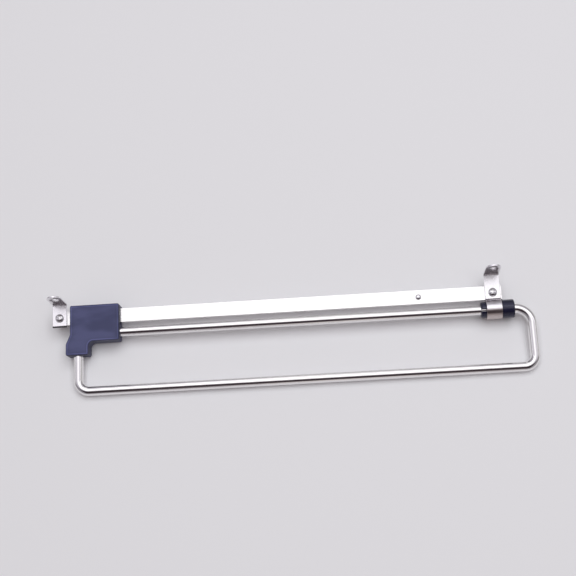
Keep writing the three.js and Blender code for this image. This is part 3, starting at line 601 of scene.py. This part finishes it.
lip_profile = np.concatenate([
    [(BUSH_BORE, BUSH_REAR + BUSH_EDGE), (BUSH_BORE + BUSH_EDGE, BUSH_REAR)],
    quarter((BUSH_LIP - BUSH_LIP_ROUND, BUSH_REAR + BUSH_LIP_ROUND), BUSH_LIP_ROUND, -np.pi / 2, 0),
    [(BUSH_LIP, BUSH_REAR + LIP_LONG), (BUSH_SEAT, BUSH_REAR + LIP_LONG)],
    [(BUSH_SEAT, lip_end), (BUSH_BORE, lip_end)],
])
bush_axis = np.array([0.0, 0.0, WIRE_Z])
last_side = 2 * np.pi * (1 - 1 / BUSH_SIDES)
head_loops = swept_section(head_profile, 0, last_side, BUSH_SIDES - 1)[..., [2, 0, 1]] + bush_axis
bush_skins = [skin(head_loops, ring=True)]
half_slot = math.asin(SLOT_WIDE / (BUSH_BORE + BUSH_LIP))
for start in (SLOT_TILT, SLOT_TILT + np.pi):
    lip = swept_section(lip_profile, start + half_slot, start + np.pi - half_slot, 40)
    bush_skins.append(skin(lip[..., [2, 0, 1]] + bush_axis))
put_together("split_bush", bush_skins, moulded_black(), "fixed_rail", ["guide_bush"])

# ---- The wire bow: one length of 8 mm round steel wire, bent three times and nickelled bright. Its top
# run slides through the bush, the hanging run takes the hangers, and both ends go into the carriage.
WIRE_RADIUS, WIRE_END_EDGE = 4.0, 0.5
HANGING_Z = -77.55
FRONT_BEND, LOWER_BEND = 13.0, 9.0
FRONT_LEG_X, REAR_LEG_X = 208.6, -163.65
TOP_RUN_END_X, LEG_END_Z = -152.5, -32.05


def round_wire(path, radius, ends, sides=72):
    """A tube along a path in x and z: middle + radius (n cos t + j sin t), with n square to the heading
    and j along y. ends rounds both ends. Also returns each loop's length along the wire."""
    points, headings = path
    run = np.append(0, np.cumsum(np.linalg.norm(np.diff(points, axis=0), axis=1)))
    stations, insets = rounded_stations(run[0], run[-1], ends)
    half = len(stations) // 2
    keep = (run > stations[half - 1] + SAME_PLACE) & (run < stations[half] - SAME_PLACE)
    along = np.concatenate([stations[:half], run[keep], stations[half:]])
    inset = np.concatenate([insets[:half], 0 * run[keep], insets[half:]])
    place = np.stack([np.interp(along, run, points[:, k]) for k in range(2)], -1)
    heading = np.interp(along, run, np.unwrap(headings))
    t = np.linspace(0, 2 * np.pi, sides, endpoint=False)[None]
    r = (radius - inset)[:, None]
    x = place[:, :1] - np.sin(heading)[:, None] * r * np.cos(t)
    z = place[:, 1:] + np.cos(heading)[:, None] * r * np.cos(t)
    return np.stack([x, r * np.sin(t), z], -1), along


def unroll(piece, along, sides, radius):
    """Gives a tube its UV map in metres. For point k of a loop, U is the loop's length along the wire
    and V = 2 pi radius k / sides, with one turn more for point 0 in a face that has the last point."""
    corner_point = np.empty(len(piece.data.loops), np.int32)
    piece.data.loops.foreach_get("vertex_index", corner_point)
    corners = np.empty(len(piece.data.polygons), np.int32)
    piece.data.polygons.foreach_get("loop_total", corners)
    loop, k = np.divmod(corner_point, sides)
    face = np.repeat(np.arange(len(corners)), corners)
    last = np.zeros(len(corners), np.int32)
    np.maximum.at(last, face, k)
    turns = k / sides + ((last[face] == sides - 1) & (k == 0))
    flat = np.stack([along[loop], 2 * np.pi * radius * turns], -1) / 1000
    piece.data.uv_layers.new(name="along_wire").data.foreach_set("uv", flat.astype(np.float32).ravel())


def bright_wire():
    """Bright nickel on drawn wire. U runs along the wire and V round it, in metres, and carry faint die
    lines, while clouds in the plating and small rubbed places where hangers slide lie on it."""
    wire = Finish(bpy.data.materials.new("bright_wire"))
    lines = wire.noise((40.0, 1800.0, 1.0), detail=2.0, source="UV")
    cloud = wire.noise((90.0, 90.0, 90.0), detail=3.0)
    rubbed = wire.band(wire.noise((420.0, 420.0, 420.0), detail=4.0), 0.6, 0.72)
    return wire.coat(
        Base_Color=wire.between(cloud, (0.84, 0.825, 0.82), (0.9, 0.89, 0.885)),
        Metallic=1.0,
        Roughness=0.08 + 0.05 * cloud + 0.03 * lines + 0.05 * rubbed,
        Normal=wire.relief(lines + 0.4 * rubbed, 0.0000025),
    )


bow_path = joined(
    straight((TOP_RUN_END_X, WIRE_Z), (FRONT_LEG_X - FRONT_BEND, WIRE_Z)),
    bend((FRONT_LEG_X - FRONT_BEND, WIRE_Z - FRONT_BEND), FRONT_BEND, np.pi / 2, 0, 40),
    bend((FRONT_LEG_X - LOWER_BEND, HANGING_Z + LOWER_BEND), LOWER_BEND, 0, -np.pi / 2, 36),
    bend((REAR_LEG_X + LOWER_BEND, HANGING_Z + LOWER_BEND), LOWER_BEND, -np.pi / 2, -np.pi, 36),
    straight((REAR_LEG_X, HANGING_Z + LOWER_BEND), (REAR_LEG_X, LEG_END_Z)),
)
bow_loops, along_wire = round_wire(bow_path, WIRE_RADIUS, WIRE_END_EDGE)
bow = put_together("bent_wire", [skin(bow_loops)], bright_wire(), "sliding_bow", ["wire_bow"])
unroll(bow, along_wire, bow_loops.shape[1], WIRE_RADIUS)

# ---- The carriage: two moulded half shells round the bar and both ends of the wire, in navy plastic
# with a fine spark-eroded grain. The front cover has a rounded rim and a shallow panel; the rear shell,
# the four screws that clamp it and the two pale liners that glide on the bar keep their CAD shape.
CARRIAGE_REAR, CARRIAGE_FRONT = -169.6, -128.5
CARRIAGE_TOP, CARRIAGE_BOTTOM, LEG_BOTTOM = -6.25, -36.95, -48.05
LEG_REAR, LEG_FRONT = -173.1, -154.2
HEEL_TOP, HEEL_BOTTOM = CARRIAGE_BOTTOM + 6.0, CARRIAGE_BOTTOM - 1.7
HEEL_ACROSS, HEEL_DOWN = 0.91, 0.414  # the direction square to the heel, pointing into the carriage
HALF_DEPTH, RIM, CORNER, HEEL_ROUND, NOTCH = 6.3, 0.6, 1.3, 3.0, 4.2
PANEL = [(0.85, 0.0), (0.91, 0.03), (1.03, 0.13), (1.1, 0.15), (1.15, 0.15)]  # inset, and how far sunk
SLOT_FRONT_Y, SLOT_ROOM, PARTING_EDGE = -2.0, 0.5, 0.15


def softened(corners, radii, steps=6):
    """A closed outline with each corner turned in an arc of its own radius: the arc's centre lies on the
    corner's bisector, r / sin(half the corner's angle) from it, and touches both sides."""
    corners, radii = np.array(corners, float), np.array(radii, float)
    before = np.roll(corners, 1, 0) - corners
    after = np.roll(corners, -1, 0) - corners
    before /= np.linalg.norm(before, axis=1)[:, None]
    after /= np.linalg.norm(after, axis=1)[:, None]
    half = np.arccos(np.clip((before * after).sum(1), -1, 1)) / 2
    middle = before + after
    middle /= np.linalg.norm(middle, axis=1)[:, None]
    centre = corners + middle * (radii / np.sin(half))[:, None]
    start = corners + before * (radii / np.tan(half))[:, None] - centre
    end = corners + after * (radii / np.tan(half))[:, None] - centre
    first, last = np.arctan2(start[:, 1], start[:, 0]), np.arctan2(end[:, 1], end[:, 0])
    swing = np.mod(last - first + np.pi, 2 * np.pi) - np.pi
    t = first[:, None] + swing[:, None] * np.linspace(0, 1, steps + 1)
    return (centre[:, None] + radii[:, None, None] * np.stack([np.cos(t), np.sin(t)], -1)).reshape(-1, 2)


def drawn_in(outline, inset):
    """The outline moved inwards by the inset, each point along its mitre (n1 + n2) / (1 + n1 . n2)."""
    side = np.roll(outline, -1, 0) - outline
    side /= np.linalg.norm(side, axis=1)[:, None]
    normal = np.stack([side[:, 1], -side[:, 0]], -1)
    area = (outline[:, 0] * np.roll(outline[:, 1], -1) - np.roll(outline[:, 0], -1) * outline[:, 1]).sum()
    normal *= math.copysign(1, area)
    earlier = np.roll(normal, 1, 0)
    mitre = (normal + earlier) / (1 + (normal * earlier).sum(1))[:, None]
    return outline - mitre * inset


def pushed_out(outline, steps):
    """Loops of an outline in x and z, one for each (inset, y) step."""
    loops = np.empty((len(steps), len(outline), 3))
    for loop, (inset, y) in zip(loops, steps):
        loop[:, [0, 2]], loop[:, 1] = drawn_in(outline, inset), y
    return loops


def navy_shell():
    """Navy plastic from a spark-eroded mould: grain, slow changes of gloss and tone, partly a painted
    sheen, and painted light by the distance in from the outline: darker sides, a painted highlight 1.1 mm
    in and painted shade just inside it. That distance is the least over the sides, the greater of two
    where they meet in the heel, and the way to the notch's centre less its radius at the notch."""
    navy = Finish(bpy.data.materials.new("navy_shell"))
    grain = navy.noise((3600.0, 3600.0, 3600.0), detail=3.0, roughness=0.6)
    cloud = navy.noise((35.0, 35.0, 55.0), detail=2.0)
    smear = navy.noise((60.0, 140.0, 170.0), detail=2.0, turn=(0.0, 0.5, 0.0))
    square = navy.place((1000.0, 1000.0, 1000.0), turn=(0.0, -math.atan(SHELF_SLOPE), 0.0))
    x, z = navy.node("ShaderNodeSeparateXYZ", inputs={0: square}, output=("X", "Z"))
    heel = (x - CARRIAGE_REAR) * HEEL_ACROSS - (z - HEEL_TOP) * HEEL_DOWN
    across = (LEG_FRONT + NOTCH - x).most(0.0)
    over = (z - CARRIAGE_BOTTOM + NOTCH).most(0.0)
    notch = (across * across + over * over) ** 0.5 - NOTCH
    within = notch.least((x - CARRIAGE_REAR).most(heel)).least(x - LEG_REAR)
    within = within.least(CARRIAGE_FRONT - x).least(CARRIAGE_TOP - z).least(z - LEG_BOTTOM)
    # Painted light and shade by the distance in: dark sides, a painted highlight at 1.08 mm, painted
    # shade at 1.76 mm.
    greys = [  # by the distance in from the outline
        (0.0, 0.3), (0.32, 0.3), (0.8, 0.55), (1.08, 0.82),
        (1.36, 0.78), (1.76, 0.42), (2.8, 0.47), (4.0, 0.5),
    ]
    stops = [(distance / 4, (grey, grey, grey)) for distance, grey in greys]
    painted_rim_light_and_shade = navy.node("ShaderNodeValToRGB", {"stops": stops}, {0: within * 0.25})
    # Random tone in clouds and smears, set to also stand in for a painted broad sheen across the cover.
    mottle = 0.85 * navy.band(0.65 * cloud + 0.35 * smear, 0.36, 0.64) + 0.15 * grain
    tone_and_painted_sheen = navy.between(mottle, (0.064, 0.071, 0.185), (0.138, 0.147, 0.33))
    return navy.coat(
        Base_Color=navy.between(1.0, tone_and_painted_sheen, painted_rim_light_and_shade, "MULTIPLY"),
        Roughness=0.42 + 0.1 * smear + 0.08 * grain,
        Specular_IOR_Level=0.5,
        Normal=navy.relief(grain + 0.8 * smear, 0.000014),
    )


def pale_liner():
    """Natural acetal, slightly waxy, with slide marks along the bar."""
    acetal = Finish(bpy.data.materials.new("pale_liner"))
    marks = acetal.noise((30.0, 2200.0, 2200.0), detail=2.0)
    return acetal.coat(
        Base_Color=acetal.between(marks, (0.72, 0.7, 0.63), (0.8, 0.78, 0.72)),
        Roughness=0.42 + 0.1 * marks,
        Normal=acetal.relief(marks, 0.000004),
    )


outline = softened(
    [
        (CARRIAGE_REAR, CARRIAGE_TOP),
        (CARRIAGE_REAR, HEEL_TOP),
        (LEG_REAR, HEEL_BOTTOM),
        (LEG_REAR, LEG_BOTTOM),
        (LEG_FRONT, LEG_BOTTOM),
        (LEG_FRONT, CARRIAGE_BOTTOM),
        (CARRIAGE_FRONT, CARRIAGE_BOTTOM),
        (CARRIAGE_FRONT, CARRIAGE_TOP),
    ],
    [CORNER, HEEL_ROUND, HEEL_ROUND, CORNER, CORNER, NOTCH, CORNER, CORNER],
)
quarter_turn = np.linspace(0, np.pi / 2, 7)
front_steps = [(0, SLOT_FRONT_Y), (0, -HALF_DEPTH + RIM + FACE_STEP)]
front_steps += [(RIM * (1 - math.cos(t)), -HALF_DEPTH + RIM * (1 - math.sin(t))) for t in quarter_turn]
front_steps += [(RIM + FACE_STEP, -HALF_DEPTH)] + [(inset, -HALF_DEPTH + sunk) for inset, sunk in PANEL]
cover = [skin(pushed_out(outline, front_steps))]

# Behind the slot's front the cover is in two halves, above and below the bar. Each starts a little
# inside the front's skin and ends in a broken edge on the parting plane.
ceiling, floor = BAR_TOP + SLOT_ROOM, BAR_BOTTOM - SLOT_ROOM
above, below = outline[outline[:, 1] > ceiling], outline[outline[:, 1] < floor]
above = np.insert(above, len(above) // 2, [[CARRIAGE_REAR, ceiling], [CARRIAGE_FRONT, ceiling]], 0)
below = np.concatenate([below, [[CARRIAGE_FRONT, floor], [CARRIAGE_REAR, floor]]])
half_steps = [(0.05, SLOT_FRONT_Y - 0.2), (0, SLOT_FRONT_Y + 0.01), (0, -PARTING_EDGE), (PARTING_EDGE, 0)]
cover += [skin(pushed_out(half, half_steps)) for half in (above, below)]
navy, liner = navy_shell(), pale_liner()
put_together("carriage_cover", cover, navy, "sliding_bow", ["carriage_front_shell"])
for name, finish in (
    ("carriage_rear_shell", navy),
    ("upper_slide_liner", liner),
    ("lower_slide_liner", liner),
    *((f"carriage_screw_{k}", zinc) for k in (1, 2, 3, 4)),
):
    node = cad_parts[name]
    node.data.materials.clear()
    node.data.materials.append(finish)

# ---- The board that the rod lies on: a plain pale sheet behind it, seen from the front only. It leans a
# little, as the bow's lower run rests on it and the rail stands off it on its bolts.
BOARD_LEAN, BOARD_HALF = math.radians(8), 3500.0
BOARD_REST_Y, BOARD_REST_Z = 22.05, -83.6
board_x, board_z = np.meshgrid([-BOARD_HALF, BOARD_HALF], [-BOARD_HALF, BOARD_HALF], indexing="ij")
board_y = BOARD_REST_Y + (board_z - BOARD_REST_Z) * math.tan(BOARD_LEAN)
board_points = np.stack([board_x, board_y, board_z], -1).reshape(-1, 3) / 1000
board_mesh = bpy.data.meshes.new("pale_board")
board_mesh.from_pydata(board_points, [], [(0, 2, 3, 1)])
pale = Finish(bpy.data.materials.new("pale_board"))
painted = {"Base Color": (0.78, 0.77, 0.805, 1), "Roughness": 0.85, "Specular IOR Level": 0.2}
board_shader = pale.node("ShaderNodeBsdfPrincipled", inputs=painted)
clear = pale.node("ShaderNodeBsdfTransparent")
from_behind = pale.node("ShaderNodeNewGeometry", output="Backfacing")
seen = pale.node("ShaderNodeMixShader", inputs={0: from_behind, 1: board_shader, 2: clear})
pale.node("ShaderNodeOutputMaterial", inputs={"Surface": seen})
board_mesh.materials.append(pale.owner)
board = bpy.data.objects.new("pale_board", board_mesh)
board.visible_shadow = False
bpy.context.scene.collection.objects.link(board)

# ---- The light of the room. The metal shows it graded: a wide bright window in front and above, a dark
# band below it where the camera's side of the room is, and pale floor beyond. Matt surfaces get it even.
world = bpy.data.worlds.new("room_light")
bpy.context.scene.world = world
room = Finish(world)
direction = room.node("ShaderNodeTexCoord", output="Generated")
x, y, z = room.node("ShaderNodeSeparateXYZ", inputs={0: direction}, output=("X", "Y", "Z"))
upward, sideways = (part.angle_from(0 - y) * (0.5 / math.pi) + 0.5 for part in (z, x))


def by_degrees(*pairs):
    """Ramp stops from (degrees, grey or colour) pairs, with the turn of 360 degrees laid on 0 to 1."""
    return [(d / 360 + 0.5, (c,) * 3 if isinstance(c, float) else c) for d, c in pairs]


vertical = room.node("ShaderNodeValToRGB", {"stops": by_degrees(
    (-180, 0.21), (-95, (0.27, 0.25, 0.245)), (-66, (0.27, 0.25, 0.245)), (-57, (0.021, 0.015, 0.018)),
    (-13, (0.021, 0.015, 0.018)), (-7, (0.42, 0.41, 0.425)), (6, (0.5, 0.49, 0.505)),
    (16, (0.56, 0.55, 0.565)), (21, 1.0), (28, 1.0), (34, (0.5, 0.49, 0.505)), (60, (0.4, 0.39, 0.405)),
    (76, 0.3), (92, 0.23), (180, 0.21),
)}, {0: upward})
level = room.node("ShaderNodeValToRGB", {"stops": by_degrees(
    (-180, 0.33), (-90, 0.36), (-60, (0.38, 0.37, 0.4)), (-34, (0.49, 0.48, 0.51)),
    (-18, (0.68, 0.67, 0.71)), (-13, 1.0), (9, 1.0), (16, (0.72, 0.71, 0.74)), (40, (0.54, 0.53, 0.56)),
    (69, 0.36), (106, 0.33), (180, 0.33),
)}, {0: sideways})
# The dark band fades 36 to 50 degrees to either side, where the side walls are at least this grey.
beside = room.band(sideways, 0.6, 0.64) + room.band(sideways, 0.4, 0.36)
walled = room.between(beside, vertical, (0.3, 0.29, 0.3), "LIGHTEN")
graded = room.between(1.0, walled, level, "MULTIPLY")
mirrored = room.node("ShaderNodeBackground", inputs={"Color": graded, "Strength": 2.4})
scattered = room.node("ShaderNodeBackground", inputs={"Color": (1.0, 0.9, 0.88, 1), "Strength": 0.3})
plain = room.node("ShaderNodeBackground", inputs={"Color": (0.72, 0.71, 0.74, 1), "Strength": 1.0})
rays = ("Is Glossy Ray", "Is Transmission Ray", "Is Camera Ray")
glossy, through, direct = room.node("ShaderNodeLightPath", output=rays)
shine = room.node("ShaderNodeMixShader", inputs={0: glossy + through, 1: scattered, 2: mirrored})
sky = room.node("ShaderNodeMixShader", inputs={0: direct, 1: shine, 2: plain})
room.node("ShaderNodeOutputWorld", inputs={"Surface": sky})

# ---- The lamp: one big soft lamp over the camera, a little to the right, for the short soft shadows on
# the board. The metal doesn't mirror it, as the light of the room has its window already.
SOFTBOX_PLACE = np.array([0.3, -2.45, 0.65])
SOFTBOX_AIM = np.array([0.01, 0.02, -0.04])
lamp = bpy.data.lights.new("softbox", "AREA")
lamp.size, lamp.energy, lamp.color = 2.7, 57.6, (0.96, 0.995, 1.0)
softbox = bpy.data.objects.new("softbox", lamp)
softbox.location = SOFTBOX_PLACE
toward = SOFTBOX_AIM - SOFTBOX_PLACE
lean = math.atan2(math.hypot(toward[0], toward[1]), -toward[2])
softbox.rotation_euler = (lean, 0, math.atan2(toward[1], toward[0]) - math.pi / 2)
softbox.visible_camera = False
softbox.visible_glossy = False
bpy.context.scene.collection.objects.link(softbox)

# ---- The camera, where the photograph was taken from: in front, a little to the right and below. Its
# place, its turn and its lens were found together from the object's edges.
eye = bpy.data.cameras.new("camera")
eye.sensor_width, eye.lens = 36.0, 67.066
eye.clip_start, eye.clip_end = 0.01, 50.0
camera = bpy.data.objects.new("camera", eye)
camera.location = (0.058559, -0.84525, -0.207496)
camera.rotation_euler = (1.80552219, 0.05734402, 0.06726904)
bpy.context.scene.collection.objects.link(camera)
bpy.context.scene.camera = camera
bpy.context.scene.view_settings.view_transform = "Standard"

bpy.context.view_layer.update()
